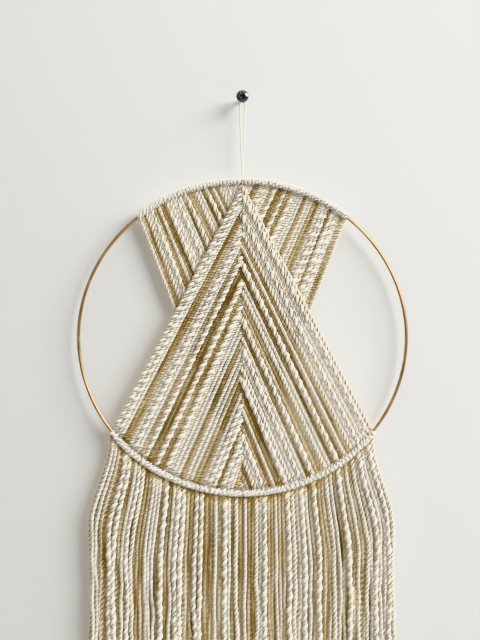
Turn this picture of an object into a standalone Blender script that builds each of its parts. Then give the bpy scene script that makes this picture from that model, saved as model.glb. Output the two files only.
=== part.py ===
"""Yarn wall hanging on a brass hoop, hung by a cord loop from a screw in a wall.

The wall is the plane y = 0, with the room at -Y and +Z up. The screw's axis meets the wall at the origin.
Two families of yarn start on the hoop's upper arc and cross on a centre seam. Each yarn runs behind the
other family before the seam and in front of it after, turns round the lower arc and hangs as fringe.
"""

import math

import bmesh
import bpy
from mathutils import Vector

# Driving dimensions, in metres.
HOOP_HALF_WIDTH = 0.150
HOOP_HALF_HEIGHT = 0.1424
WIRE_R = 0.0015
HOOP_DROP = 0.0766
WALL_GAP = 0.012
CLEARANCE = 0.0003

SHANK_R = 0.0016
SHANK_LENGTH = 0.019
HEAD_R = 0.0056
HEAD_HEIGHT = 0.0034
RECESS_WIDTH = 0.0013
RECESS_SPAN = 0.0056
RECESS_DEPTH = 0.0016

LOOP_CORD_R = 0.00075

# Where the yarn sits on the hoop, in degrees from the top and from the bottom.
TOP_INNER = 1.2
TOP_OUTER = 39.5
BOTTOM_INNER = 0.3
BOTTOM_OUTER = 53.0
BUNDLES = 8
BUNDLE_GAP = 0.0005

# Warp bundles: flat bands that turn round the wire at both ends.
TURN_R = 0.0027
TURN_HALF_THICKNESS = 0.00065
BAND_HALF_THICKNESS = 0.0012
BAND_EDGE = 0.00018
LAYER = 0.0018
RAMP = 0.005
CROSSING_RUN = 0.008
CROSSING_SLANT = 0.003
FULL_TURN = (-150, -110, -70, -30, 10, 50, 90)
SHORT_TURN = (-100, -70, -30, 10, 50, 90)

# Fringe bundles.
FRINGE_LENGTH = 0.300
FRINGE_HALF_THICKNESS = 0.004
FRINGE_EDGE = 0.0022
FRINGE_TOP_GAP = 0.0004
FRINGE_PIVOT_DROP = 0.0012
FLARE = 0.024
FLARE_RUN = 0.140

TOWARDS_WALL = Vector((0, 1, 0))
HOOP_CENTRE = Vector((0, -WALL_GAP, -HOOP_DROP - HOOP_HALF_HEIGHT))
HOOP_PIVOT = Vector((0, -WALL_GAP, -HOOP_DROP))
SCREW_PIVOT = Vector((0, -WALL_GAP, 0))
FRINGE_END_Z = HOOP_CENTRE.z - HOOP_HALF_HEIGHT - FRINGE_LENGTH

LEFT = -1
RIGHT = 1


def clear_scene():
    for obj in list(bpy.data.objects):
        bpy.data.objects.remove(obj, do_unlink=True)


def make_collection(name, hidden=False):
    collection = bpy.data.collections.new(name)
    bpy.context.scene.collection.children.link(collection)
    collection.hide_render = hidden
    return collection


def make_material(name, colour, roughness, metallic=0.0):
    material = bpy.data.materials.new(name)
    material.use_nodes = True
    shader = material.node_tree.nodes["Principled BSDF"]
    shader.inputs["Base Color"].default_value = (*colour, 1.0)
    shader.inputs["Roughness"].default_value = roughness
    shader.inputs["Metallic"].default_value = metallic
    material.diffuse_color = (*colour, 1.0)
    return material


def finish_mesh(bm, name, material, origin, smooth=True):
    """A named object in the part's collection, with its origin on its joint's axis."""
    bmesh.ops.recalc_face_normals(bm, faces=bm.faces[:])
    bmesh.ops.translate(bm, verts=bm.verts[:], vec=-origin)
    mesh = bpy.data.meshes.new(name)
    bm.to_mesh(mesh)
    bm.free()
    for face in mesh.polygons:
        face.use_smooth = smooth
    obj = bpy.data.objects.new(name, mesh)
    obj.location = origin
    obj.data.materials.append(material)
    PART.objects.link(obj)
    return obj


def loft(sections):
    """A closed skin through sections that change shape, with a cap on each end."""
    bm = bmesh.new()
    rows = [[bm.verts.new(point) for point in section] for section in sections]
    for near, far in zip(rows, rows[1:]):
        for i in range(len(near)):
            j = (i + 1) % len(near)
            bm.faces.new((near[i], near[j], far[j], far[i]))
    bm.faces.new(rows[0][::-1])
    bm.faces.new(rows[-1])
    return bm


def tube(name, points, radius, material, origin, cyclic=False):
    """A round tube along a poly curve, kept as one mesh."""
    curve = bpy.data.curves.new(name, "CURVE")
    curve.dimensions = "3D"
    curve.bevel_depth = radius
    curve.bevel_resolution = 2
    curve.use_fill_caps = not cyclic
    spline = curve.splines.new("POLY")
    spline.points.add(len(points) - 1)
    for spot, point in zip(spline.points, points):
        spot.co = (*point, 1.0)
    spline.use_cyclic_u = cyclic
    rig = bpy.data.objects.new(name + "_route", curve)
    PART.objects.link(rig)
    mesh = bpy.data.meshes.new_from_object(rig.evaluated_get(bpy.context.evaluated_depsgraph_get()))
    bm = bmesh.new()
    bm.from_mesh(mesh)
    bmesh.ops.remove_doubles(bm, verts=bm.verts[:], dist=1e-7)
    bpy.data.objects.remove(rig, do_unlink=True)
    return finish_mesh(bm, name, material, origin)


# The hoop's geometry ---------------------------------------------------------------------------------------

def hoop_point(degrees):
    """A point on the wire's centreline, counted from the top towards +X."""
    angle = math.radians(degrees)
    across = HOOP_HALF_WIDTH * math.sin(angle)
    up = HOOP_HALF_HEIGHT * math.cos(angle)
    return HOOP_CENTRE + Vector((across, 0, up))


def hoop_outward(degrees):
    angle = math.radians(degrees)
    return Vector((math.sin(angle) / HOOP_HALF_WIDTH, 0, math.cos(angle) / HOOP_HALF_HEIGHT)).normalized()


def top_angle(side, place):
    """Where a yarn starts: place runs from 0, next to the centre, to 1, the outermost."""
    return side * (TOP_INNER + (TOP_OUTER - TOP_INNER) * place)


def bottom_angle(side, place):
    """Where it ends, on the other side: the innermost start has the outermost end."""
    below = BOTTOM_OUTER + (BOTTOM_INNER - BOTTOM_OUTER) * place
    return 180 + side * below


def crossing_share(side, place, other_place):
    """How far along its straight run a yarn meets a yarn of the other family, from 0 to 1."""
    start = hoop_point(top_angle(side, place))
    run = hoop_point(bottom_angle(side, place)) - start
    other = hoop_point(top_angle(-side, other_place))
    other_run = hoop_point(bottom_angle(-side, other_place)) - other
    apart = other - start
    return (apart.x * other_run.z - apart.z * other_run.x) / (run.x * other_run.z - run.z * other_run.x)


# Warp bundles ----------------------------------------------------------------------------------------------

def turns(angle, leaving, at_start):
    """Centres and outer directions of a band's turn round the wire, in running order.

    leaving is +1 where the band meets the turn behind the wire and -1 where it meets it in front.
    A turn made the other way from its neighbours stops short, clear of their straight runs.
    """
    centre = hoop_point(angle)
    outward = hoop_outward(angle)
    usual = leaving == (1 if at_start else -1)
    steps = FULL_TURN if usual else SHORT_TURN
    if not at_start:
        steps = steps[::-1]
    spots = []
    for step in steps:
        turn = math.radians(step * leaving)
        way = outward * math.cos(turn) + TOWARDS_WALL * math.sin(turn)
        spots.append((centre + way * TURN_R, way * leaving, TURN_HALF_THICKNESS, TURN_HALF_THICKNESS * 0.8))
    return spots


def straight_run(side, place, crossed_at, leave, slant):
    """The stretch between the two turns, with its change from the back layer to the front one."""
    start = hoop_point(top_angle(side, place))
    end = hoop_point(bottom_angle(side, place))
    length = (end - start).length
    way = (end - start) / length
    if crossed_at is None:
        layer = leave * LAYER
        stations = [(RAMP + (length - 2 * RAMP) * i / 6, layer) for i in range(7)]
    else:
        crossing = crossing_share(side, place, crossed_at) * length + slant
        before = crossing - CROSSING_RUN
        after = crossing + CROSSING_RUN
        stations = [(RAMP, LAYER), ((RAMP + before) / 2, LAYER), (before, LAYER)]
        stations += [(crossing, 0.0), (after, -LAYER)]
        stations += [((after + length - RAMP) / 2, -LAYER), (length - RAMP, -LAYER)]
    centres = [start + way * along + TOWARDS_WALL * depth for along, depth in stations]
    return [(centre, TOWARDS_WALL, BAND_HALF_THICKNESS, BAND_EDGE) for centre in centres]


def yarn_line(side, place, crossed_at, leave, arrive, slant):
    line = turns(top_angle(side, place), leave, True)
    line += straight_run(side, place, crossed_at, leave, slant)
    return line + turns(bottom_angle(side, place), arrive, False)


def band_section(left, middle, right):
    """Six points: two thin edges and a thick middle."""
    faces = []
    for sign in (-1, 1):
        trio = [left[0] + left[1] * left[3] * sign]
        trio.append(middle[0] + middle[1] * middle[2] * sign)
        trio.append(right[0] + right[1] * right[3] * sign)
        faces.append(trio)
    return faces[0] + faces[1][::-1]


def warp_bundle(side, pair, material):
    """Pair 0 is next to the centre. Left bundles pass over right ones where a pair meets."""
    trim = math.degrees(BUNDLE_GAP / 2 / HOOP_HALF_WIDTH) / (TOP_OUTER - TOP_INNER)
    inner = pair / BUNDLES + trim
    outer = (pair + 1) / BUNDLES - trim
    leave, arrive = 1, -1
    crossed_at = pair / BUNDLES if side == LEFT else (pair + 1) / BUNDLES
    if side == LEFT and pair == 0:
        leave, crossed_at = -1, None
    if side == RIGHT and pair == BUNDLES - 1:
        arrive, crossed_at = 1, None
    lines = []
    for across in (0.0, 0.5, 1.0):
        place = inner + (outer - inner) * across
        slant = CROSSING_SLANT * (1 - 2 * across)
        lines.append(yarn_line(side, place, crossed_at, leave, arrive, slant))
    sections = [band_section(*trio) for trio in zip(*lines)]
    name = f"warp_{'left' if side == LEFT else 'right'}_{pair + 1:02d}"
    return finish_mesh(loft(sections), name, material, HOOP_PIVOT)


# Fringe ----------------------------------------------------------------------------------------------------

def smooth_step(value):
    value = min(max(value, 0.0), 1.0)
    return value * value * (3 - 2 * value)


def fringe_point(angle, down):
    """A point on the fringe's middle plane, below the turns round the wire."""
    wire = hoop_point(angle)
    reach = (TURN_R + TURN_HALF_THICKNESS + FRINGE_TOP_GAP) / -hoop_outward(angle).z
    top = wire.z - reach
    spread = wire.x / (HOOP_HALF_WIDTH * math.sin(math.radians(BOTTOM_OUTER)))
    drop = (top - FRINGE_END_Z) * down
    flare = FLARE * spread * abs(spread) * smooth_step(drop / FLARE_RUN)
    return Vector((wire.x + flare, wire.y, top - drop))


def fringe_bundle(side, pair, material):
    """Hangs below the warp bundle of the same name, and swings on a level line at its top."""
    trim = math.degrees(BUNDLE_GAP / 2 / HOOP_HALF_WIDTH) / (BOTTOM_OUTER - BOTTOM_INNER)
    places = (pair / BUNDLES + trim, (pair + 0.5) / BUNDLES, (pair + 1) / BUNDLES - trim)
    angles = [bottom_angle(side, place) for place in places]
    stages = [(0.0, 0.15), (0.010, 0.75), (0.026, 1.0)]
    stages += [(0.10, 1.0), (0.17, 1.0), (0.24, 1.0), (0.31, 1.0), (0.40, 1.0), (1.0, 0.9)]
    sections = []
    for down, share in stages:
        line = []
        for index, angle in enumerate(angles):
            half = (FRINGE_HALF_THICKNESS if index == 1 else FRINGE_EDGE) * share
            line.append((fringe_point(angle, down), TOWARDS_WALL, half, half))
        sections.append(band_section(*line))
    pivot = sum((fringe_point(angle, 0.0) for angle in angles), Vector()) / 3
    pivot.z -= FRINGE_PIVOT_DROP
    name = f"fringe_{'left' if side == LEFT else 'right'}_{pair + 1:02d}"
    return finish_mesh(loft(sections), name, material, pivot)


# Hoop, hanging loop and screw ------------------------------------------------------------------------------

def make_hoop(material):
    route = [hoop_point(360 * i / 96) for i in range(96)]
    return tube("hoop", route, WIRE_R, material, HOOP_PIVOT, cyclic=True)


def make_hanging_loop(material):
    """Over the screw's shank at the top and under the wire at the bottom, a quarter turn apart."""
    over = SHANK_R + LOOP_CORD_R + CLEARANCE
    under = WIRE_R + LOOP_CORD_R + CLEARANCE
    route = []
    for i in range(9):
        angle = math.pi * i / 8
        route.append(SCREW_PIVOT + Vector((-over * math.cos(angle), 0, over * math.sin(angle))))
    right_leg = HOOP_PIVOT + TOWARDS_WALL * under
    left_leg = HOOP_PIVOT - TOWARDS_WALL * under
    route += [route[-1].lerp(right_leg, i / 8) for i in range(1, 8)]
    for i in range(9):
        angle = math.pi * i / 8
        dip = Vector((0, math.cos(angle), -math.sin(angle))) * under
        route.append(HOOP_PIVOT + dip)
    route += [left_leg.lerp(route[0], i / 8) for i in range(1, 8)]
    return tube("hanging_loop", route, LOOP_CORD_R, material, SCREW_PIVOT, cyclic=True)


def recess_cutter(collection, turned):
    """One bar of the cross in the screw's head."""
    face = -SHANK_LENGTH - HEAD_HEIGHT
    bm = bmesh.new()
    bmesh.ops.create_cube(bm, size=1.0)
    size = (RECESS_WIDTH, 2 * RECESS_DEPTH, RECESS_SPAN)
    if turned:
        size = (RECESS_SPAN, 2 * RECESS_DEPTH, RECESS_WIDTH)
    bmesh.ops.scale(bm, verts=bm.verts[:], vec=size)
    bmesh.ops.translate(bm, verts=bm.verts[:], vec=(0, face, 0))
    mesh = bpy.data.meshes.new("recess_cutter")
    bm.to_mesh(mesh)
    bm.free()
    cutter = bpy.data.objects.new("recess_cutter", mesh)
    cutter.display_type = "WIRE"
    cutter.hide_render = True
    collection.objects.link(cutter)
    return cutter


def make_wall_screw(material):
    """Pan head on a plain shank. Its end face lies on the wall's surface."""
    bm = bmesh.new()
    head = SHANK_LENGTH
    crown = head + HEAD_HEIGHT
    profile = [(0, 0), (SHANK_R, 0), (SHANK_R, head), (HEAD_R, head), (HEAD_R, head + 0.0011)]
    profile += [(HEAD_R * 0.93, head + 0.0021), (HEAD_R * 0.78, head + 0.0029), (HEAD_R * 0.55, crown), (0, crown)]
    chain = [bm.verts.new((radius, -out, 0)) for radius, out in profile]
    edges = [bm.edges.new(pair) for pair in zip(chain, chain[1:])]
    bmesh.ops.spin(
        bm, geom=chain + edges, axis=(0, 1, 0), cent=(0, 0, 0), angle=2 * math.pi, steps=20, use_merge=True
    )
    bmesh.ops.remove_doubles(bm, verts=bm.verts[:], dist=1e-6)
    screw = finish_mesh(bm, "wall_screw", material, Vector(), smooth=False)
    for turned in (False, True):
        cut = screw.modifiers.new("recess", "BOOLEAN")
        cut.operation = "DIFFERENCE"
        cut.solver = "EXACT"
        cut.object = recess_cutter(CUTTERS, turned)
    return screw


def build():
    brass = make_material("brass_wire", (0.78, 0.55, 0.33), 0.28, 1.0)
    steel = make_material("black_steel", (0.045, 0.045, 0.05), 0.3, 0.9)
    cotton = make_material("cotton_cord", (0.86, 0.83, 0.76), 0.9)
    warp = make_material("warp_yarn", (0.83, 0.77, 0.64), 0.95)
    fringe = make_material("fringe_yarn", (0.82, 0.75, 0.61), 0.95)
    make_wall_screw(steel)
    make_hanging_loop(cotton)
    make_hoop(brass)
    for side in (LEFT, RIGHT):
        for pair in range(BUNDLES):
            warp_bundle(side, pair, warp)
            fringe_bundle(side, pair, fringe)


clear_scene()
PART = make_collection("yarn_wall_hanging")
CUTTERS = make_collection("cutters", hidden=True)
build()
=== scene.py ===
import math
from collections import namedtuple

import bpy
import numpy as np
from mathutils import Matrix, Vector


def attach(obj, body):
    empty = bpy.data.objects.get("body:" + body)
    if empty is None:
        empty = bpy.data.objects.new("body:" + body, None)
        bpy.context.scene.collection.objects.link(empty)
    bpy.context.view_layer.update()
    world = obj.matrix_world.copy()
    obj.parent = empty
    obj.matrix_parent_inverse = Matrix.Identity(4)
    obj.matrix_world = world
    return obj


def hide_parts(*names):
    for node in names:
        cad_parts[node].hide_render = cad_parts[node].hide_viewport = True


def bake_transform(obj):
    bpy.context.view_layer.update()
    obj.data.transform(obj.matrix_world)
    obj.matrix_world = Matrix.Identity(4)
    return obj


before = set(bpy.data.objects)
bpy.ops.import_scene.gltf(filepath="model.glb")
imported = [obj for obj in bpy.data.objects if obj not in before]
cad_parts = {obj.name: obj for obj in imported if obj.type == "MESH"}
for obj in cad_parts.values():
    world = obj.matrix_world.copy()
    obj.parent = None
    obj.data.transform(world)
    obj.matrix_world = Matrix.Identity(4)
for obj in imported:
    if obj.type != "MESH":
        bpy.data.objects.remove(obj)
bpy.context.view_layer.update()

TAU = 2 * math.pi

LEFT = -1
RIGHT = 1

# Lengths are in metres and angles in degrees. These dimensions are the CAD part's own.
HOOP_HALF_WIDTH = 0.150
HOOP_HALF_HEIGHT = 0.1424
WIRE_R = 0.0015
HOOP_DROP = 0.0766
WALL_GAP = 0.012
CLEARANCE = 0.0003
SHANK_R = 0.0016
SHANK_LENGTH = 0.019
HEAD_R = 0.0056
HEAD_HEIGHT = 0.0034
RECESS_WIDTH = 0.0013
RECESS_SPAN = 0.0056
RECESS_DEPTH = 0.0016
LOOP_CORD_R = 0.00075
TOP_OUTER = 39.5
BOTTOM_INNER = 0.3
BOTTOM_OUTER = 53.0
BUNDLES = 8
FRINGE_LENGTH = 0.300
TURN_R = 0.0027
TURN_HALF_THICKNESS = 0.00065
FRINGE_TOP_GAP = 0.0004
CAD_TURN_REACH = TURN_R + TURN_HALF_THICKNESS + FRINGE_TOP_GAP
HOOP_CENTRE_Z = -HOOP_DROP - HOOP_HALF_HEIGHT
FRINGE_END_Z = HOOP_CENTRE_Z - HOOP_HALF_HEIGHT - FRINGE_LENGTH
WIRE_Y = -WALL_GAP

# These follow the photo more closely than the CAD bundles do: there the innermost yarns start at
# 1.2 degrees, and the fringe's edges move 24 mm outward over their first 140 mm.
TOP_INNER = 0.65
FLARE = 0.0195
FLARE_RUN = 0.082

X_AXIS = np.array([1.0, 0.0, 0.0])
TOWARDS_WALL = np.array([0.0, 1.0, 0.0])
UP = np.array([0.0, 0.0, 1.0])


# Camera ------------------------------------------------------------------------------------------

CAMERA_PLACE = (-0.0022, -1.112, -0.2033)
CAMERA_LENS = 67.6
CAMERA_CLIP = (0.05, 30.0)


def make_camera():
    """Straight in front of the hoop, level, as far away as the photo's perspective says."""
    data = bpy.data.cameras.new("camera")
    data.sensor_width = 36.0
    data.lens = CAMERA_LENS
    data.clip_start, data.clip_end = CAMERA_CLIP
    camera = bpy.data.objects.new("camera", data)
    camera.location = CAMERA_PLACE
    camera.rotation_euler = (math.radians(90), 0, 0)
    bpy.context.scene.collection.objects.link(camera)
    bpy.context.scene.camera = camera


make_camera()
bpy.context.scene.view_settings.view_transform = "Khronos PBR Neutral"


# Small numeric helpers ---------------------------------------------------------------------------

def unit(vectors):
    """Each vector at length 1."""
    return vectors / np.linalg.norm(vectors, axis=-1, keepdims=True)


def smooth_step(value):
    """An eased rise from 0 to 1, flat outside."""
    value = np.clip(value, 0.0, 1.0)
    return value * value * (3 - 2 * value)


OCTAVES = 3
OCTAVE_SHORTER = 1.9
OCTAVE_WEAKER = 0.55
OCTAVE_SUM = 1.8


def wander(rng, along, scale, amount):
    """Smooth random drift along a strand, about 0 and about as large as amount."""
    total = np.zeros_like(along)
    for octave in range(OCTAVES):
        length = scale / OCTAVE_SHORTER ** octave
        total += np.sin(along / length * TAU + rng.uniform(0, TAU)) * OCTAVE_WEAKER ** octave
    return total * amount / OCTAVE_SUM


def beads(rng, along, scale):
    """Random values about 0, one for each length of scale, eased between."""
    count = int(along[-1] / scale) + 3
    values = rng.uniform(-1, 1, count)
    place = along / scale + rng.uniform(0, 1)
    cell = np.minimum(place.astype(int), count - 2)
    share = smooth_step(place - cell)
    return values[cell] * (1 - share) + values[cell + 1] * share


def hoop_point(degrees):
    """The wire's centre, by the angle clockwise from its top as seen from the room."""
    angle = np.radians(degrees)
    across = HOOP_HALF_WIDTH * np.sin(angle)
    up = HOOP_CENTRE_Z + HOOP_HALF_HEIGHT * np.cos(angle)
    return np.stack([across, np.full_like(across, WIRE_Y), up], axis=-1)


def hoop_outward(degrees):
    """The direction away from the hoop's inside there."""
    angle = np.radians(degrees)
    across = np.sin(angle) / HOOP_HALF_WIDTH
    up = np.cos(angle) / HOOP_HALF_HEIGHT
    return unit(np.stack([across, np.zeros_like(across), up], axis=-1))


def top_angle(side, place):
    """Where a yarn starts. place runs over its family, from 0 at the seam's top to 1."""
    return side * (TOP_INNER + (TOP_OUTER - TOP_INNER) * place)


def bottom_angle(side, place):
    """Where the same yarn ends."""
    return 180 + side * (BOTTOM_OUTER + (BOTTOM_INNER - BOTTOM_OUTER) * place)


def lookup(wanted, known, vectors):
    """Vectors at the wanted places, between those at the known places."""
    return np.stack([np.interp(wanted, known, vectors[:, axis]) for axis in range(3)], axis=1)


def distances(points):
    """How far along the curve each point is."""
    gaps = np.linalg.norm(np.diff(points, axis=0), axis=1)
    return np.concatenate([[0.0], np.cumsum(gaps)])


def curve_length(points):
    return float(np.linalg.norm(np.diff(points, axis=0), axis=1).sum())


def resample(points, step):
    """The same poly curve with even spacing, and the distance of each new point along it."""
    along = distances(points)
    count = max(int(along[-1] / step) + 1, 4)
    even = np.linspace(0, along[-1], count)
    return lookup(even, along, points), even


def soften(points, passes):
    """Rounds the corners of a curve, in place."""
    for _ in range(passes):
        points[1:-1] = points[1:-1] * 0.5 + (points[:-2] + points[2:]) * 0.25
    return points


def ring_directions(sides):
    """The angles of a ring's corners."""
    return np.arange(sides) / sides * TAU


def rim_vectors(first, second, angles):
    """For each row, the unit vectors round a ring from first towards second."""
    cosine, sine = np.cos(angles)[None, :, None], np.sin(angles)[None, :, None]
    return first[..., None, :] * cosine + second[..., None, :] * sine


def fan_caps(sides):
    """A fan of quads over an even number of corners."""
    return np.array([[0, i, i + 1, i + 2] for i in range(1, sides - 1, 2)])


def ring_quads(near, far, sides):
    """Quads between rings that start at the points near and far, and each corner's number."""
    spot = np.arange(sides)[None, :]
    after = (spot + 1) % sides
    return np.stack([near + spot, near + after, far + after, far + spot], axis=-1), spot


def ring_maps(spot, sides, low, high):
    """The UV corners of those quads: round the ring, and low to high along it."""
    shape = (len(low), sides)
    u0, u1 = np.broadcast_to(spot / sides, shape), np.broadcast_to((spot + 1) / sides, shape)
    v0, v1 = np.broadcast_to(low[:, None], shape), np.broadcast_to(high[:, None], shape)
    return np.stack([u0, v0, u1, v0, u1, v1, u0, v1], axis=-1)


def add_object(name, mesh, material):
    mesh.materials.append(material)
    obj = bpy.data.objects.new(name, mesh)
    bpy.context.scene.collection.objects.link(obj)
    return obj


def smooth_shade(mesh):
    mesh.polygons.foreach_set("use_smooth", np.ones(len(mesh.polygons), bool))


# Mesh builder: closed tubes and fibres, all quads ------------------------------------------------

class Weave:
    """Collects tubes for one piece.

    Each vertex keeps a tone. Its red is the lightness, the yarn's own tone with painted light and
    shade in it, which the material reads.
    Its green is how far out on the ply the vertex sits, and its blue the strand's number.
    """

    def __init__(self):
        self.points, self.quads, self.tones, self.maps = [], [], [], []
        self.count = 0

    def tube(self, centres, radii, radial, tangent, sides, tone, length_map, press=None):
        """A closed tube. radial points from each centre to the ring's first vertex.

        press is (axis points, first direction, its scale, second direction, its scale),
        to flatten a whole yarn.
        """
        rings = len(centres)
        across = np.cross(tangent, radial)
        rim = rim_vectors(radial, across, ring_directions(sides))
        points = centres[:, None] + rim * radii[:, None, None]
        if press is not None:
            axis, first, wide, second, thick = press
            apart = points - axis[:, None]
            for way, scale in ((first, wide), (second, thick)):
                shift = (apart * way[:, None]).sum(2) * (scale - 1)[:, None]
                points = points + way[:, None] * shift[..., None]
        points = points.reshape(-1, 3)
        ring = np.arange(rings - 1)[:, None] * sides
        quads, spot = ring_quads(ring, ring + sides, sides)
        maps = ring_maps(spot, sides, length_map[:-1], length_map[1:]).reshape(-1, 4, 2)
        caps = fan_caps(sides)
        last = (rings - 1) * sides
        ends = np.concatenate([caps[:, ::-1], caps + last])
        cap_maps = np.zeros((len(ends), 4, 2))
        self.points.append(points)
        self.quads.append(np.concatenate([quads.reshape(-1, 4), ends]) + self.count)
        self.tones.append(tone.reshape(-1, 3))
        self.maps.append(np.concatenate([maps, cap_maps]))
        self.count += len(points)

    def make(self, name, material):
        """The piece, as one object."""
        points = np.concatenate(self.points).astype(np.float32)
        quads = np.concatenate(self.quads).astype(np.int32)
        tones = np.concatenate(self.tones)
        maps = np.concatenate(self.maps).astype(np.float32)
        mesh = bpy.data.meshes.new(name)
        mesh.vertices.add(len(points))
        mesh.vertices.foreach_set("co", points.ravel())
        mesh.loops.add(quads.size)
        mesh.loops.foreach_set("vertex_index", quads.ravel())
        mesh.polygons.add(len(quads))
        mesh.polygons.foreach_set("loop_start", np.arange(0, quads.size, 4, dtype=np.int32))
        mesh.update(calc_edges=True)
        smooth_shade(mesh)
        layer = mesh.uv_layers.new(name="UVMap")
        layer.uv.foreach_set("vector", maps.ravel())
        colour = mesh.attributes.new("tone", "FLOAT_COLOR", "POINT")
        full = np.concatenate([tones, np.ones((len(tones), 1))], axis=1).astype(np.float32)
        colour.data.foreach_set("color", full.ravel())
        return add_object(name, mesh, material)


# Yarn kinds --------------------------------------------------------------------------------------

# plies: each ply's radius and its distance from the yarn's axis; pitch: length of one full twist;
# slub: how much the thickness varies, and slub_run over what length; light: how white;
# depth: how far the yarn sits back from its neighbours; fuzz: loose fibres for each metre.
# The kinds are fine, dark, big, white and two-ply thread. The dark kind's low light is partly a tan
# yarn's own colour and partly painted shade, for strands that sit back.
Yarn = namedtuple("Yarn", "plies pitch slub slub_run light depth fuzz")
YARNS = {
    "f": Yarn(((0.00108, 0.00078), (0.00050, 0.00128)), 0.0049, 0.14, 0.005, 0.88, 0.0002, 60),
    "d": Yarn(((0.00106, 0.00068), (0.00050, 0.00120)), 0.0052, 0.12, 0.007, 0.38, 0.0012, 40),
    "B": Yarn(((0.00176, 0.00104), (0.00055, 0.00170)), 0.0090, 0.20, 0.007, 1.0, -0.0009, 160),
    "W": Yarn(((0.00150, 0.00092), (0.00050, 0.00145)), 0.0082, 0.18, 0.007, 0.96, -0.0006, 110),
    "T": Yarn(((0.00116, 0.00100), (0.00104, 0.00106)), 0.0094, 0.16, 0.008, 0.88, -0.0002, 100),
}

# Each family's yarns by bundle, from the outer edge of the crossed panel to its seam.
FAMILY = {
    RIGHT: ("WBfd", "dfBf", "dBdd", "BddBf", "ffdf", "fddf", "BBdB", "Bfddf"),
    LEFT: ("TBff", "BfTd", "fdBd", "fTdd", "BdfB", "fTBd", "dfddB", "fTddf"),
}
FRINGE = {
    RIGHT: ("ffdd", "BBdf", "WTdd", "fffdB", "dfBB", "ddWW", "ddfd", "BfdTd"),
    LEFT: ("TBff", "BfTd", "fdBd", "fTdd", "BdfB", "fTBd", "dfddB", "fTddf"),
}


def yarn_radius(kind):
    """From the yarn's axis to the outside of its plies."""
    return max(radius + reach for radius, reach in YARNS[kind].plies)


def yarn_width(kind):
    """How much room it takes beside its neighbours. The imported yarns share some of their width."""
    return 0.0012 + 0.6 * yarn_radius(kind)


def yarn_sides(kind):
    return 8 if kind in "BW" else 6


FIBRE_LENGTHS = (0.0006, 0.0013)
FIBRE_SHARES = np.array([0.0, 0.35, 0.7, 1.0])
FIBRE_RADII = np.array([0.00005, 0.000045, 0.000035, 0.000015])
FIBRE_SIDES = 4
FIBRE_LEAN = 1.6
FIBRE_BEND = 0.45
FIBRE_LIGHTER = 0.25


def add_fibres(weave, rng, centres, outward, tangent, light, amount):
    """Loose ends of fibre that stand off a yarn's surface."""
    count = len(centres)
    share = FIBRE_SHARES[:, None]
    for _ in range(int(amount)):
        i = rng.integers(2, count - 2)
        away = outward[i] * rng.uniform(0.7, 1.0)
        away = away + tangent[i] * rng.uniform(-FIBRE_LEAN, FIBRE_LEAN)
        away = unit(away + rng.uniform(-0.5, 0.5, 3))
        bend = unit(rng.uniform(-1, 1, 3) + outward[i] * 0.6)
        length = rng.uniform(*FIBRE_LENGTHS)
        route = centres[i] + away * length * share + bend * length * FIBRE_BEND * share ** 2
        way = unit(np.gradient(route, axis=0))
        side = unit(np.cross(way, unit(rng.uniform(-1, 1, 3))))
        tone = [min(1.0, light + FIBRE_LIGHTER), 0.5, rng.uniform()]
        tones = np.tile(tone, (len(FIBRE_SHARES) * FIBRE_SIDES, 1))
        weave.tube(route, FIBRE_RADII, side, way, FIBRE_SIDES, tones, FIBRE_SHARES * 0.002)


RING_GAP = 0.001            # between a yarn's rings, at most
RINGS_PER_TWIST = 7
TWIST_DRIFT = (0.09, 0.35)  # over what length, and by how many radians
TWIST_SPREAD = (0.94, 1.06)
LIGHT_RUN = 0.12            # over what length the lightness drifts
REACH_FIXED = 0.6           # the share of a ply's distance from the axis that no slub changes
END_RADIUS = 0.12           # the share of its radius that a ply keeps at its bare end
# Painted shade: inward of this, towards the hollows between the plies, a ply is painted darker.
CROWN_EDGE = 0.75           # from here outward, a ply has its full lightness


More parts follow.
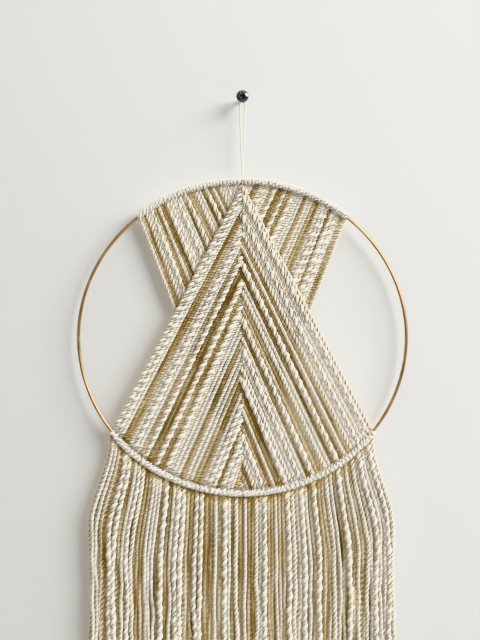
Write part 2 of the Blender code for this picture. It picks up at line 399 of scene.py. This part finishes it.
def add_yarn(weave, rng, kind, points, reference, shade, end_taper, step=None, press=None, sides=6):
    """Twisted plies along a centre line, and the points of that line.

    reference is any direction that the line never runs along, or one for each share of its length.
    shade(light, along, total) gives the crowns' lightness, with painted light and shade along the
    yarn, and how light the hollows stay under their painted shade.
    press(along, total) gives the yarn's scale across and through it.
    """
    yarn = YARNS[kind]
    centres, along = resample(points, step or min(RING_GAP, yarn.pitch / RINGS_PER_TWIST))
    share = along / along[-1]
    tangent = unit(np.gradient(centres, axis=0))
    if reference.ndim == 1:
        ref = np.broadcast_to(reference, centres.shape)
    else:
        ref = lookup(share, np.linspace(0, 1, len(reference)), reference)
    normal = unit(ref - (ref * tangent).sum(1, keepdims=True) * tangent)
    binormal = np.cross(tangent, normal)
    pressed = None
    if press is not None:
        wide, thick = press(along, along[-1])
        pressed = (centres, normal, wide, binormal, thick)
    slub = 1 + yarn.slub * beads(rng, along, yarn.slub_run)
    drift = wander(rng, along, *TWIST_DRIFT)
    pitch = yarn.pitch * rng.uniform(*TWIST_SPREAD)
    turn = along / pitch * TAU + rng.uniform(0, TAU) + drift
    number = rng.uniform()
    spread = 0.05 + 0.16 * (1 - yarn.light)
    own_light = yarn.light + rng.uniform(-spread, spread)
    light = np.clip(own_light + wander(rng, along, LIGHT_RUN, spread), 0, 1)
    base, hollow = shade(light, along, along[-1])
    # Painted shade: each ply's inner side, towards the hollows between the plies, is painted darker
    # than its crown.
    crown = 0.5 + 0.5 * np.cos(ring_directions(sides))
    out_of_hollow_shade = smooth_step(crown / CROWN_EDGE)
    taper = np.clip(np.minimum(along, along[-1] - along) / end_taper, END_RADIUS, 1) ** 0.5
    plies = len(yarn.plies)
    for index, (ply, ply_reach) in enumerate(yarn.plies):
        angle = turn + index * TAU / plies
        spoke = normal * np.cos(angle)[:, None] + binormal * np.sin(angle)[:, None]
        reach = ply_reach * (REACH_FIXED + (1 - REACH_FIXED) * slub)
        route = centres + spoke * reach[:, None]
        way = unit(np.gradient(route, axis=0))
        radial = unit(spoke - (spoke * way).sum(1, keepdims=True) * way)
        own = 1 + yarn.slub * 0.5 * beads(rng, along, yarn.slub_run * 0.7)
        radii = ply * slub * own
        radii = radii * taper
        tone = np.empty((len(centres), sides, 3))
        tone[..., 0] = base[:, None] * (hollow[:, None] + (1 - hollow[:, None]) * out_of_hollow_shade[None, :])
        tone[..., 1] = crown[None, :]
        tone[..., 2] = number
        weave.tube(route, radii, radial, way, sides, tone, along, pressed)
        outer = route + radial * radii[:, None] * 0.8
        amount = yarn.fuzz * along[-1] / plies
        add_fibres(weave, rng, outer, radial, way, float(light.mean()), amount)
    return centres


# Warp yarns --------------------------------------------------------------------------------------

WRAP_R = 0.0025             # from the wire's centre to a turn's centre line
LAYER = 0.0024              # how far each family lies from the wire's plane
SEAM_SHIFT = 0.0021         # how far left of the middle, along a yarn, it comes to the front
SEAM_RUN = 0.0016           # how gradually it does that
DIVE = 0.0048               # how far before the lower arc it turns behind the wire
DIVE_RUN = 0.0014
HEAD_RUN = 0.008            # how soon it leaves the upper arc's back
POINT_GAP = 0.001
TOP_SWEEP = np.arange(-160.0, 95.0, 12.0)
BOTTOM_SWEEP = np.arange(84.0, -175.0, -12.0)
TOP_SLIDE = 0.35            # by how many degrees a turn moves along the hoop
BOTTOM_SLIDE = 0.5
WARP_END_TAPER = 0.004


def yarn_places(kinds, bundle):
    """Where each yarn of a bundle sits, by its share of the bundle's width."""
    widths = np.array([yarn_width(kind) for kind in kinds])
    edges = np.concatenate([[0.0], np.cumsum(widths)]) / widths.sum()
    middles = (edges[:-1] + edges[1:]) / 2
    return list(zip(kinds, (bundle + middles) / BUNDLES))


def wrap(angle, sweep, radius, slide):
    """Points of a turn round the wire.

    sweep is in degrees: 0 outward, 90 behind the wire, -90 in front.
    """
    turns = np.radians(sweep)[:, None]
    centre = hoop_point(angle + slide * np.linspace(-0.5, 0.5, len(sweep)))
    outward = hoop_outward(np.full(len(sweep), float(angle)))
    return centre + radius * (outward * np.cos(turns) + TOWARDS_WALL * np.sin(turns))


def warp_line(side, place, push):
    """The centre line of a warp yarn, and a reference direction for each share of its length.

    It goes from a tucked end over the hoop's top, behind the other family, in front of it
    and round the lower arc.
    """
    start_angle, end_angle = top_angle(side, place), bottom_angle(side, place)
    start = hoop_point(np.array(start_angle))
    end = hoop_point(np.array(end_angle))
    length = np.linalg.norm(end - start)
    way = (end - start) / length
    seam = length * start[0] / (start[0] - end[0]) + side * SEAM_SHIFT
    along = np.arange(0.0035, length - 0.0015, POINT_GAP)
    depth = -LAYER * np.tanh((along - seam) / SEAM_RUN)
    pushed = smooth_step((along - 0.006) / 0.02) * push
    depth = depth + pushed * smooth_step((length - along) / 0.02)
    tail = 0.5 + 0.5 * np.tanh((along - (length - DIVE)) / DIVE_RUN)
    depth = depth * (1 - tail) + WRAP_R * tail
    head = 1 - smooth_step(along / HEAD_RUN)
    depth = depth * (1 - head) + WRAP_R * head
    run = start + way * along[:, None] + TOWARDS_WALL * depth[:, None]
    first = wrap(start_angle, TOP_SWEEP, WRAP_R, TOP_SLIDE)
    last = wrap(end_angle, BOTTOM_SWEEP, WRAP_R, BOTTOM_SLIDE)
    line = np.concatenate([first, run, last])
    lateral = np.cross(way, TOWARDS_WALL)
    first_ref = np.cross(-hoop_outward(np.array(start_angle)), TOWARDS_WALL)
    last_ref = np.cross(hoop_outward(np.array(end_angle)), TOWARDS_WALL)
    reference = np.concatenate([
        np.tile(first_ref, (len(first), 1)),
        np.tile(lateral, (len(run), 1)),
        np.tile(last_ref, (len(last), 1)),
    ])
    share = distances(line) / curve_length(line)
    reference = lookup(np.linspace(0, 1, 400), share, reference)
    return soften(line, 2), reference


TURN_LENGTH = 0.012          # of yarn, in a turn round the wire
TURN_THICK = 0.00155
TOP_TURN_WIDE = 0.00205
BOTTOM_TURN_WIDE = 0.00290


def warp_press(kind):
    """Yarn is flat and wide where it turns round the wire, and round elsewhere."""
    outer = yarn_radius(kind)
    flat = TURN_THICK / outer
    top_wide = TOP_TURN_WIDE / outer
    bottom_wide = BOTTOM_TURN_WIDE / outer

    def press(along, total):
        left = total - along
        from_top = smooth_step((along - TURN_LENGTH) / 0.045)
        from_bottom = smooth_step((left - TURN_LENGTH) / 0.02)
        top = top_wide + (1 - top_wide) * from_top
        bottom = bottom_wide + (1 - bottom_wide) * from_bottom
        wide = np.where(along < left, top, bottom)
        thick = flat + (1 - flat) * smooth_step((np.minimum(along, left) - 0.011) / 0.012)
        return wide, thick

    return press


def warp_shade(light, along, total):
    """Painted light and shade: the turns round the wire are fluffed out and painted pale, a painted
    highlight where they stand proud, and the rest keeps painted dark hollows.
    """
    turn = smooth_step((0.0125 - np.minimum(along, total - along)) / 0.003)
    # Painted highlight on the turns; painted shade in the hollows elsewhere.
    return light + (1.0 - light) * turn, 0.14 + 0.72 * turn


def make_warps(material):
    """Each family's bundles, one piece for each, all on the hoop."""
    for side in (LEFT, RIGHT):
        for bundle in range(BUNDLES):
            name = f"warp_{'left' if side == LEFT else 'right'}_{bundle + 1:02d}"
            rng = np.random.default_rng([7, side + 1, bundle])
            weave = Weave()
            for kind, place in yarn_places(FAMILY[side][bundle], bundle):
                push = YARNS[kind].depth * 0.8 + rng.uniform(-0.0003, 0.0003)
                line, reference = warp_line(side, place, push)
                add_yarn(
                    weave, rng, kind, line, reference, warp_shade, WARP_END_TAPER,
                    press=warp_press(kind), sides=yarn_sides(kind),
                )
            piece = weave.make(name + "_yarn", material)
            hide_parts(name)
            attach(piece, "hoop")


# Fringe ------------------------------------------------------------------------------------------

FRINGE_BACK = 0.0018         # how far behind the wire's centre a strand starts
FRINGE_END_TAPER = 0.0015
FRINGE_SHORTEST = 0.004      # above the CAD fringe's end
FRINGE_RAGGED = (0.005, 0.006)   # how unevenly the front and the back strands end
BACK_DEPTH = 0.0022          # how far behind the wire's centre the back strands hang
BACK_KINDS = list("dfdT")


def fringe_top(angle):
    """The wire's centre there, and the height at which the CAD fringe starts."""
    wire = hoop_point(np.array(angle))
    reach = CAD_TURN_REACH / -hoop_outward(np.array(angle))[2]
    return wire, wire[2] - reach


def fringe_line(rng, angle, depth, bottom):
    """From behind the lower arc's turns down to a bare end, in loose waves."""
    wire, top = fringe_top(angle)
    spread = wire[0] / (HOOP_HALF_WIDTH * math.sin(math.radians(BOTTOM_OUTER)))
    z = np.arange(wire[2] + 0.001, bottom, -POINT_GAP)
    drop = np.maximum(top - z, 0)
    x = wire[0] + FLARE * spread * abs(spread) * smooth_step(drop / FLARE_RUN)
    loose = smooth_step(drop / 0.12)
    along = wire[2] - z
    x = x + wander(rng, along, rng.uniform(0.10, 0.20), 0.0013) * loose
    x = x + wander(rng, along, rng.uniform(0.03, 0.05), 0.00035) * loose
    y = depth + wander(rng, along, rng.uniform(0.09, 0.16), 0.0010) * loose
    y = FRINGE_BACK + (y - FRINGE_BACK) * smooth_step((along - 0.003) / 0.012)
    return np.stack([x, WIRE_Y + y, z], axis=1)


def fringe_press(kind):
    """Flat behind the lower arc's turns, and round below them."""
    flat = 0.0012 / yarn_radius(kind)

    def press(along, total):
        thick = flat + (1.04 - flat) * smooth_step((along - 0.002) / 0.020)
        return np.ones_like(along), thick

    return press


def fringe_shade(light, along, total):
    """Painted shadow: darker just below the hoop, where the strands are packed under the turns and
    shaded by them. The whole fringe is also painted a little lighter, and its hollows get painted
    shade.
    """
    # Painted shadow under the turns, fading out over the first 16 mm.
    out_of_painted_shadow = smooth_step((along - 0.004) / 0.012)
    return light ** 0.75 * (0.45 + 0.55 * out_of_painted_shadow), np.full_like(along, 0.20)


def back_shade(light, along, total):
    """The strands behind get less light."""
    base, hollow = fringe_shade(light, along, total)
    return base * 0.72, hollow


def even_shade(light, along, total):
    """A thin cord whose hollows are painted only a little darker, as light painted shade."""
    return light, np.full_like(along, 0.75)


def make_fringe(material):
    """Each bundle's strands, front and back. The first and last front strand are each made as a
    piece of its own.
    """
    for side in (LEFT, RIGHT):
        for bundle in range(BUNDLES):
            name = f"fringe_{'left' if side == LEFT else 'right'}_{bundle + 1:02d}"
            rng = np.random.default_rng([11, side + 1, bundle])
            places = yarn_places(FRINGE[side][bundle], bundle)
            angles = [bottom_angle(side, place) for _, place in places]
            spacing = (max(angles) - min(angles)) / len(angles)
            weave = Weave()
            declared = {0, len(places) - 1}
            for index, ((kind, place), angle) in enumerate(zip(places, angles)):
                bottom = FRINGE_END_Z + FRINGE_SHORTEST + abs(rng.normal(0, FRINGE_RAGGED[0]))
                depth = YARNS[kind].depth * 1.1 - 0.0010 + rng.uniform(-0.0006, 0.0006)
                line = fringe_line(rng, angle, depth, bottom)
                strand = Weave() if index in declared else weave
                route = add_yarn(
                    strand, rng, kind, line, X_AXIS, fringe_shade, FRINGE_END_TAPER,
                    press=fringe_press(kind), sides=yarn_sides(kind),
                )
                if index in declared:
                    piece = strand.make(f"{name}_strand_{index + 1}", material)
                    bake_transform(piece)
                back_kind = rng.choice(BACK_KINDS)
                back_angle = angle + spacing * rng.uniform(0.35, 0.65)
                bottom = FRINGE_END_Z + FRINGE_SHORTEST + abs(rng.normal(0, FRINGE_RAGGED[1]))
                depth = BACK_DEPTH + rng.uniform(-0.0006, 0.0006)
                line = fringe_line(rng, back_angle, depth, bottom)
                add_yarn(
                    weave, rng, back_kind, line, X_AXIS, back_shade, FRINGE_END_TAPER,
                    press=fringe_press(back_kind),
                )
            piece = weave.make(name + "_yarn", material)
            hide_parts(name)
            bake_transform(piece)


# Hanging loop ------------------------------------------------------------------------------------

LOOP_YARN = Yarn(((0.00045, 0.00036), (0.00045, 0.00036)), 0.0046, 0.05, 0.02, 0.95, 0.0, 120)
LOOP_END_TAPER = 0.0006
LOOP_RING_GAP = 0.0005


def loop_route():
    """As in the CAD part: over the screw's shank, and under the wire at a quarter turn to that."""
    over = SHANK_R + LOOP_CORD_R + CLEARANCE
    under = WIRE_R + LOOP_CORD_R + CLEARANCE
    screw = np.array([0.0, WIRE_Y, 0.0])
    pivot = np.array([0.0, WIRE_Y, -HOOP_DROP])
    sweep = np.linspace(0, math.pi, 25)[:, None]
    top = screw + over * (-np.cos(sweep) * X_AXIS + np.sin(sweep) * UP)
    dip = pivot + under * (np.cos(sweep) * TOWARDS_WALL - np.sin(sweep) * UP)
    share = np.linspace(0, 1, 60)[1:-1, None]
    right = top[-1] + (dip[0] - top[-1]) * share
    left = dip[-1] + (top[0] - dip[-1]) * share
    return np.concatenate([left, top, right, dip])


def make_loop(material):
    YARNS["loop"] = LOOP_YARN
    rng = np.random.default_rng(3)
    weave = Weave()
    line = soften(loop_route(), 2)
    reference = unit(np.array([0.35, 0.93, 0.12]))
    route = add_yarn(weave, rng, "loop", line, reference, even_shade, LOOP_END_TAPER, LOOP_RING_GAP)
    piece = weave.make("hanging_loop_cord", material)
    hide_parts("hanging_loop")
    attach(piece, "hanging_loop")


# Materials ---------------------------------------------------------------------------------------

def new_material(name):
    material = bpy.data.materials.new(name)
    material.use_nodes = True
    tree = material.node_tree
    return material, tree, tree.nodes["Principled BSDF"]


def ramp_node(tree, source, stops):
    """Colours by the source's value, between the stops."""
    node = tree.nodes.new("ShaderNodeValToRGB")
    ramp = node.color_ramp
    while len(ramp.elements) < len(stops):
        ramp.elements.new(0.5)
    for element, (position, colour) in zip(ramp.elements, stops):
        element.position = position
        element.color = (*colour, 1.0)
    tree.links.new(source, node.inputs["Fac"])
    return node


def math_node(tree, operation, first, second):
    """Either operand is a number or another node's output."""
    node = tree.nodes.new("ShaderNodeMath")
    node.operation = operation
    for socket, value in zip(node.inputs, (first, second)):
        if isinstance(value, (int, float)):
            socket.default_value = value
        else:
            tree.links.new(value, socket)
    return node.outputs[0]


def noise_node(tree, vector, scale, detail=3.0, roughness=0.55):
    node = tree.nodes.new("ShaderNodeTexNoise")
    node.inputs["Scale"].default_value = scale
    node.inputs["Detail"].default_value = detail
    node.inputs["Roughness"].default_value = roughness
    tree.links.new(vector, node.inputs["Vector"])
    return node.outputs["Fac"]


def bump_node(tree, height, strength, distance):
    node = tree.nodes.new("ShaderNodeBump")
    node.inputs["Strength"].default_value = strength
    node.inputs["Distance"].default_value = distance
    tree.links.new(height, node.inputs["Height"])
    return node.outputs["Normal"]


def mapping_node(tree, vector, scale):
    node = tree.nodes.new("ShaderNodeMapping")
    node.inputs["Scale"].default_value = scale
    tree.links.new(vector, node.inputs["Vector"])
    return node.outputs["Vector"]


def scaled_node(tree, source, scale, offset):
    return math_node(tree, "ADD", math_node(tree, "MULTIPLY", source, scale), offset)


# Lightness to colour. The low stops give the golden brown of painted shade in the hollows and under
# the turns, and of the tan yarn; the high stops give cream.
YARN_STOPS = (
    (0.0, (0.17, 0.10, 0.030)),
    (0.22, (0.45, 0.30, 0.100)),
    (0.42, (0.74, 0.60, 0.34)),
    (0.66, (0.93, 0.87, 0.735)),
    (0.90, (0.97, 0.95, 0.895)),
)
BRASS_STOPS = (
    (0.30, (0.48, 0.31, 0.15)),
    (0.55, (0.62, 0.44, 0.24)),
    (0.80, (0.75, 0.58, 0.36)),
)
STEEL_STOPS = (
    (0.35, (0.12, 0.13, 0.155)),
    (0.62, (0.19, 0.20, 0.22)),
    (0.85, (0.36, 0.35, 0.34)),
)


def yarn_material(name):
    """Spun cotton: cream crowns, golden hollows in painted shade, fine fibres along each ply and a
    soft sheen.
    """
    material, tree, shader = new_material(name)
    tone = tree.nodes.new("ShaderNodeAttribute")
    tone.attribute_name = "tone"
    split = tree.nodes.new("ShaderNodeSeparateColor")
    tree.links.new(tone.outputs["Color"], split.inputs[0])
    place = tree.nodes.new("ShaderNodeTexCoord")
    mottle = noise_node(tree, place.outputs["Object"], 260.0)
    patch = math_node(tree, "MULTIPLY", math_node(tree, "SUBTRACT", mottle, 0.5), 0.35)
    light = math_node(tree, "ADD", split.outputs["Red"], patch)
    colour = ramp_node(tree, light, YARN_STOPS)
    tree.links.new(colour.outputs["Color"], shader.inputs["Base Color"])
    lengthwise = mapping_node(tree, place.outputs["UV"], (9.0, 420.0, 1.0))
    fibres = noise_node(tree, lengthwise, 1.0, detail=4.0, roughness=0.7)
    tree.links.new(bump_node(tree, fibres, 0.55, 0.0004), shader.inputs["Normal"])
    tree.links.new(scaled_node(tree, fibres, 0.25, 0.72), shader.inputs["Roughness"])
    shader.inputs["Diffuse Roughness"].default_value = 1.0
    shader.inputs["Sheen Weight"].default_value = 0.12
    shader.inputs["Sheen Roughness"].default_value = 0.45
    shader.inputs["Specular IOR Level"].default_value = 0.12
    return material


def brass_material():
    """Drawn wire: warm brass with fine lengthwise lines and a little tarnish."""
    material, tree, shader = new_material("brass_wire_drawn")
    place = tree.nodes.new("ShaderNodeTexCoord")
    lengthwise = mapping_node(tree, place.outputs["UV"], (26.0, 60.0, 1.0))
    lines = noise_node(tree, lengthwise, 1.0, detail=5.0, roughness=0.7)
    tarnish = noise_node(tree, place.outputs["Object"], 55.0, detail=4.0)
    colour = ramp_node(tree, tarnish, BRASS_STOPS)
    tree.links.new(colour.outputs["Color"], shader.inputs["Base Color"])
    tree.links.new(scaled_node(tree, lines, 0.25, 0.16), shader.inputs["Roughness"])
    tree.links.new(bump_node(tree, lines, 0.25, 0.00006), shader.inputs["Normal"])
    shader.inputs["Metallic"].default_value = 1.0
    return material


def steel_material():
    """Black oxide over steel, worn lighter in patches."""
    material, tree, shader = new_material("black_oxide_steel")
    place = tree.nodes.new("ShaderNodeTexCoord")
    patches = noise_node(tree, place.outputs["Object"], 420.0, detail=5.0, roughness=0.65)
    colour = ramp_node(tree, patches, STEEL_STOPS)
    tree.links.new(colour.outputs["Color"], shader.inputs["Base Color"])
    tree.links.new(scaled_node(tree, patches, 0.22, 0.10), shader.inputs["Roughness"])
    tree.links.new(bump_node(tree, patches, 0.2, 0.00005), shader.inputs["Normal"])
    shader.inputs["Metallic"].default_value = 1.0
    shader.inputs["Coat Weight"].default_value = 0.5
    shader.inputs["Coat Roughness"].default_value = 0.12
    return material


# Hoop --------------------------------------------------------------------------------------------

WIRE_SIDES = 16


def make_hoop(material):
    """The bare wire as one closed ring."""
    angles = np.linspace(0, 360, 361)[:-1]
    rim = rim_vectors(hoop_outward(angles), TOWARDS_WALL[None], ring_directions(WIRE_SIDES))
    points = (hoop_point(angles)[:, None] + rim * WIRE_R).reshape(-1, 3)
    near = np.arange(len(angles))[:, None] * WIRE_SIDES
    far = (near + WIRE_SIDES) % len(points)
    quads, spot = ring_quads(near, far, WIRE_SIDES)
    quads = quads.reshape(-1, 4)
    mesh = bpy.data.meshes.new("hoop_wire")
    mesh.from_pydata(points.tolist(), [], quads.tolist())
    layer = mesh.uv_layers.new(name="UVMap")
    length = np.arange(len(angles)) / len(angles)
    maps = ring_maps(spot, WIRE_SIDES, length, length + 1 / len(angles)).astype(np.float32)
    layer.uv.foreach_set("vector", maps.ravel())
    smooth_shade(mesh)
    hoop = add_object("hoop_wire", mesh, material)
    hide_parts("hoop")
    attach(hoop, "hoop")


# Screw -------------------------------------------------------------------------------------------

HEAD_EDGE = 0.0008           # the height of the head's upright rim
HEAD_ROUND = 2.6             # 2 is a half ellipse, more is flatter in the middle
SLOPE_SIDES = 0.00016        # how far the recess's walls slope
SLOPE_ENDS = 0.0011
SLOPE_MIDDLE = 0.0003
MIDDLE_R = 0.00105
SCREW_SIDES = 96


def head_height(radius):
    """The pan head's rounded front, above its underside."""
    dome = np.clip(1 - (radius / HEAD_R) ** HEAD_ROUND, 0, 1) ** 0.5
    return HEAD_EDGE + (HEAD_HEIGHT - HEAD_EDGE) * dome


def recess_depth(x, z):
    """A cross with tapered wings and a deeper middle."""
    depth = np.zeros_like(x)
    for over, along in ((x, z), (z, x)):
        sides = np.clip((RECESS_WIDTH / 2 - np.abs(over)) / SLOPE_SIDES, 0, 1)
        ends = np.clip((RECESS_SPAN / 2 - np.abs(along)) / SLOPE_ENDS, 0, 1)
        depth = np.maximum(depth, RECESS_DEPTH * sides * ends ** 0.7)
    middle = np.clip((MIDDLE_R - np.hypot(x, z)) / SLOPE_MIDDLE, 0, 1)
    return np.maximum(depth, RECESS_DEPTH * middle)


def make_screw(material):
    """One turned shape, from the recess over the head and its underside to the shank's end."""
    angle = ring_directions(SCREW_SIDES)
    inner = np.linspace(0.00005, 0.0031, 60)
    outer = HEAD_R * np.sin(np.linspace(0.60, math.pi / 2, 26))
    rings = []
    for radius in np.concatenate([inner, outer]):
        x, z = radius * np.cos(angle), radius * np.sin(angle)
        height = head_height(np.full(SCREW_SIDES, radius))
        rings.append((x, -SHANK_LENGTH - height + recess_depth(x, z), z))
    back = [
        (HEAD_R, 0.0004), (HEAD_R * 0.985, 0.0001), (HEAD_R * 0.95, 0.0),
        (SHANK_R * 1.25, 0.0), (SHANK_R, -0.0003),
    ]
    back += [(SHANK_R, -share * SHANK_LENGTH) for share in (0.1, 0.3, 0.5, 0.7, 0.9, 1.0)]
    for radius, height in back:
        y = np.full(SCREW_SIDES, -SHANK_LENGTH - height)
        rings.append((radius * np.cos(angle), y, radius * np.sin(angle)))
    points = np.stack([np.stack(ring, axis=1) for ring in rings])
    ring = np.arange(len(rings) - 1)[:, None] * SCREW_SIDES
    quads, _ = ring_quads(ring, ring + SCREW_SIDES, SCREW_SIDES)
    quads = quads[..., [0, 3, 2, 1]].reshape(-1, 4)
    caps = fan_caps(SCREW_SIDES)
    last = (len(rings) - 1) * SCREW_SIDES
    quads = np.concatenate([quads, caps, caps[:, ::-1] + last])
    mesh = bpy.data.meshes.new("wall_screw_steel")
    mesh.from_pydata(points.reshape(-1, 3).tolist(), [], quads.tolist())
    smooth_shade(mesh)
    screw = add_object("wall_screw_steel", mesh, material)
    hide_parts("wall_screw")
    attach(screw, "wall_screw")


# Stage and light ---------------------------------------------------------------------------------

STAGE_HALF_WIDTH = 4.0
FLOOR_Z = -0.95
WALL_TOP = 3.0
WALL_Y = 0.0004
FLOOR_FRONT, FLOOR_BACK = -5.0, 4.0
# Painted shade on the wall beside the windows: the paint is darkened there against their strong
# light.
WALL_PAINTED_SHADE_SPAN = (0.50, 1.40)     # from and to this x, the wall's paint gets darker beside the windows
WALL_PAINTED_SHADE_LEVEL = 0.25


def plane(name, corners, material):
    mesh = bpy.data.meshes.new(name)
    mesh.from_pydata(corners, [], [tuple(range(len(corners)))])
    obj = add_object(name, mesh, material)


def stage_material(name, colour):
    """Matt paint with a faint grain: the material, its node tree, shader and coordinates."""
    material, tree, shader = new_material(name)
    shader.inputs["Base Color"].default_value = (*colour, 1.0)
    shader.inputs["Roughness"].default_value = 0.9
    shader.inputs["Specular IOR Level"].default_value = 0.2
    place = tree.nodes.new("ShaderNodeTexCoord")
    grain = noise_node(tree, place.outputs["Object"], 90.0, detail=4.0)
    tree.links.new(bump_node(tree, grain, 0.06, 0.001), shader.inputs["Normal"])
    return material, tree, shader, place


def wall_material():
    """Paint on the room's side, clear from behind and for light, with painted shade far to the
    right, where the windows light it most.
    """
    colour = (0.77, 0.775, 0.775)
    material, tree, shader, place = stage_material("wall_paint", colour)
    across = tree.nodes.new("ShaderNodeSeparateXYZ")
    tree.links.new(place.outputs["Object"], across.inputs[0])
    # Painted shade: from x = 0.5 to 1.4 the paint darkens to a quarter, beside the windows.
    painted_shade_span = tree.nodes.new("ShaderNodeMapRange")
    painted_shade_span.inputs["From Min"].default_value, painted_shade_span.inputs["From Max"].default_value = WALL_PAINTED_SHADE_SPAN
    tree.links.new(across.outputs["X"], painted_shade_span.inputs["Value"])
    dark = tuple(WALL_PAINTED_SHADE_LEVEL * channel for channel in colour)
    paint = ramp_node(tree, painted_shade_span.outputs["Result"], ((0.0, colour), (1.0, dark)))
    tree.links.new(paint.outputs["Color"], shader.inputs["Base Color"])
    clear = tree.nodes.new("ShaderNodeBsdfTransparent")
    mix = tree.nodes.new("ShaderNodeMixShader")
    facing = tree.nodes.new("ShaderNodeNewGeometry")
    path = tree.nodes.new("ShaderNodeLightPath")
    backfacing, shadow = facing.outputs["Backfacing"], path.outputs["Is Shadow Ray"]
    tree.links.new(math_node(tree, "MAXIMUM", backfacing, shadow), mix.inputs[0])
    tree.links.new(shader.outputs[0], mix.inputs[1])
    tree.links.new(clear.outputs[0], mix.inputs[2])
    tree.links.new(mix.outputs[0], tree.nodes["Material Output"].inputs["Surface"])
    return material


def make_stage():
    """A floor, and a wall that is open from behind so that every side can be seen."""
    left, right = -STAGE_HALF_WIDTH, STAGE_HALF_WIDTH
    plane("wall", [
        (left, WALL_Y, FLOOR_Z), (right, WALL_Y, FLOOR_Z),
        (right, WALL_Y, WALL_TOP), (left, WALL_Y, WALL_TOP),
    ], wall_material())
    plane("floor", [
        (left, FLOOR_FRONT, FLOOR_Z), (right, FLOOR_FRONT, FLOOR_Z),
        (right, FLOOR_BACK, FLOOR_Z), (left, FLOOR_BACK, FLOOR_Z),
    ], stage_material("floor_paint", (0.45, 0.445, 0.435))[0])


WORLD_COLOUR = (1.0, 0.935, 0.82, 1.0)
WORLD_STRENGTH = 0.22
DAYLIGHT = (0.98, 0.99, 1.0)
WHITE = (1.0, 1.0, 1.0)

# name, place, aimed at, size, watts, colour
LIGHTS = (
    ("window", (2.05, -1.75, 1.15), (0, 0, -0.15), (1.8, 1.3), 90.0, DAYLIGHT),
    ("window_side", (2.60, -0.62, 1.00), (0, 0, -0.15), (1.1, 1.2), 32.0, DAYLIGHT),
    ("room", (-1.40, -2.40, 0.70), (0, 0, -0.20), (2.4, 2.4), 7.5, (1.0, 0.91, 0.77)),
    ("ceiling", (0.0, -1.0, 1.30), (0, 0, -0.10), (1.3, 0.9), 4.0, (1.0, 0.95, 0.86)),
    ("back_fill", (-0.8, 1.6, 0.6), (0, 0, -0.3), (1.5, 1.5), 34.0, WHITE),
)


def area_light(name, location, target, size, power, colour):
    data = bpy.data.lights.new(name, "AREA")
    data.shape = "RECTANGLE"
    data.size, data.size_y = size
    data.energy = power
    data.color = colour
    light = bpy.data.objects.new(name, data)
    light.location = location
    way = np.array(target, float) - np.array(location, float)
    light.rotation_euler = Vector(way).to_track_quat("-Z", "Y").to_euler()
    bpy.context.scene.collection.objects.link(light)


def make_light():
    """Daylight from the right as in the photo, a warm room, and a fill behind the wall."""
    world = bpy.data.worlds.new("world")
    bpy.context.scene.world = world
    world.use_nodes = True
    background = world.node_tree.nodes["Background"]
    background.inputs["Color"].default_value = WORLD_COLOUR
    background.inputs["Strength"].default_value = WORLD_STRENGTH
    for light in LIGHTS:
        area_light(*light)


cotton = yarn_material("cotton_yarn")
make_loop(cotton)
make_fringe(cotton)
make_warps(cotton)
make_hoop(brass_material())
make_screw(steel_material())
make_stage()
make_light()
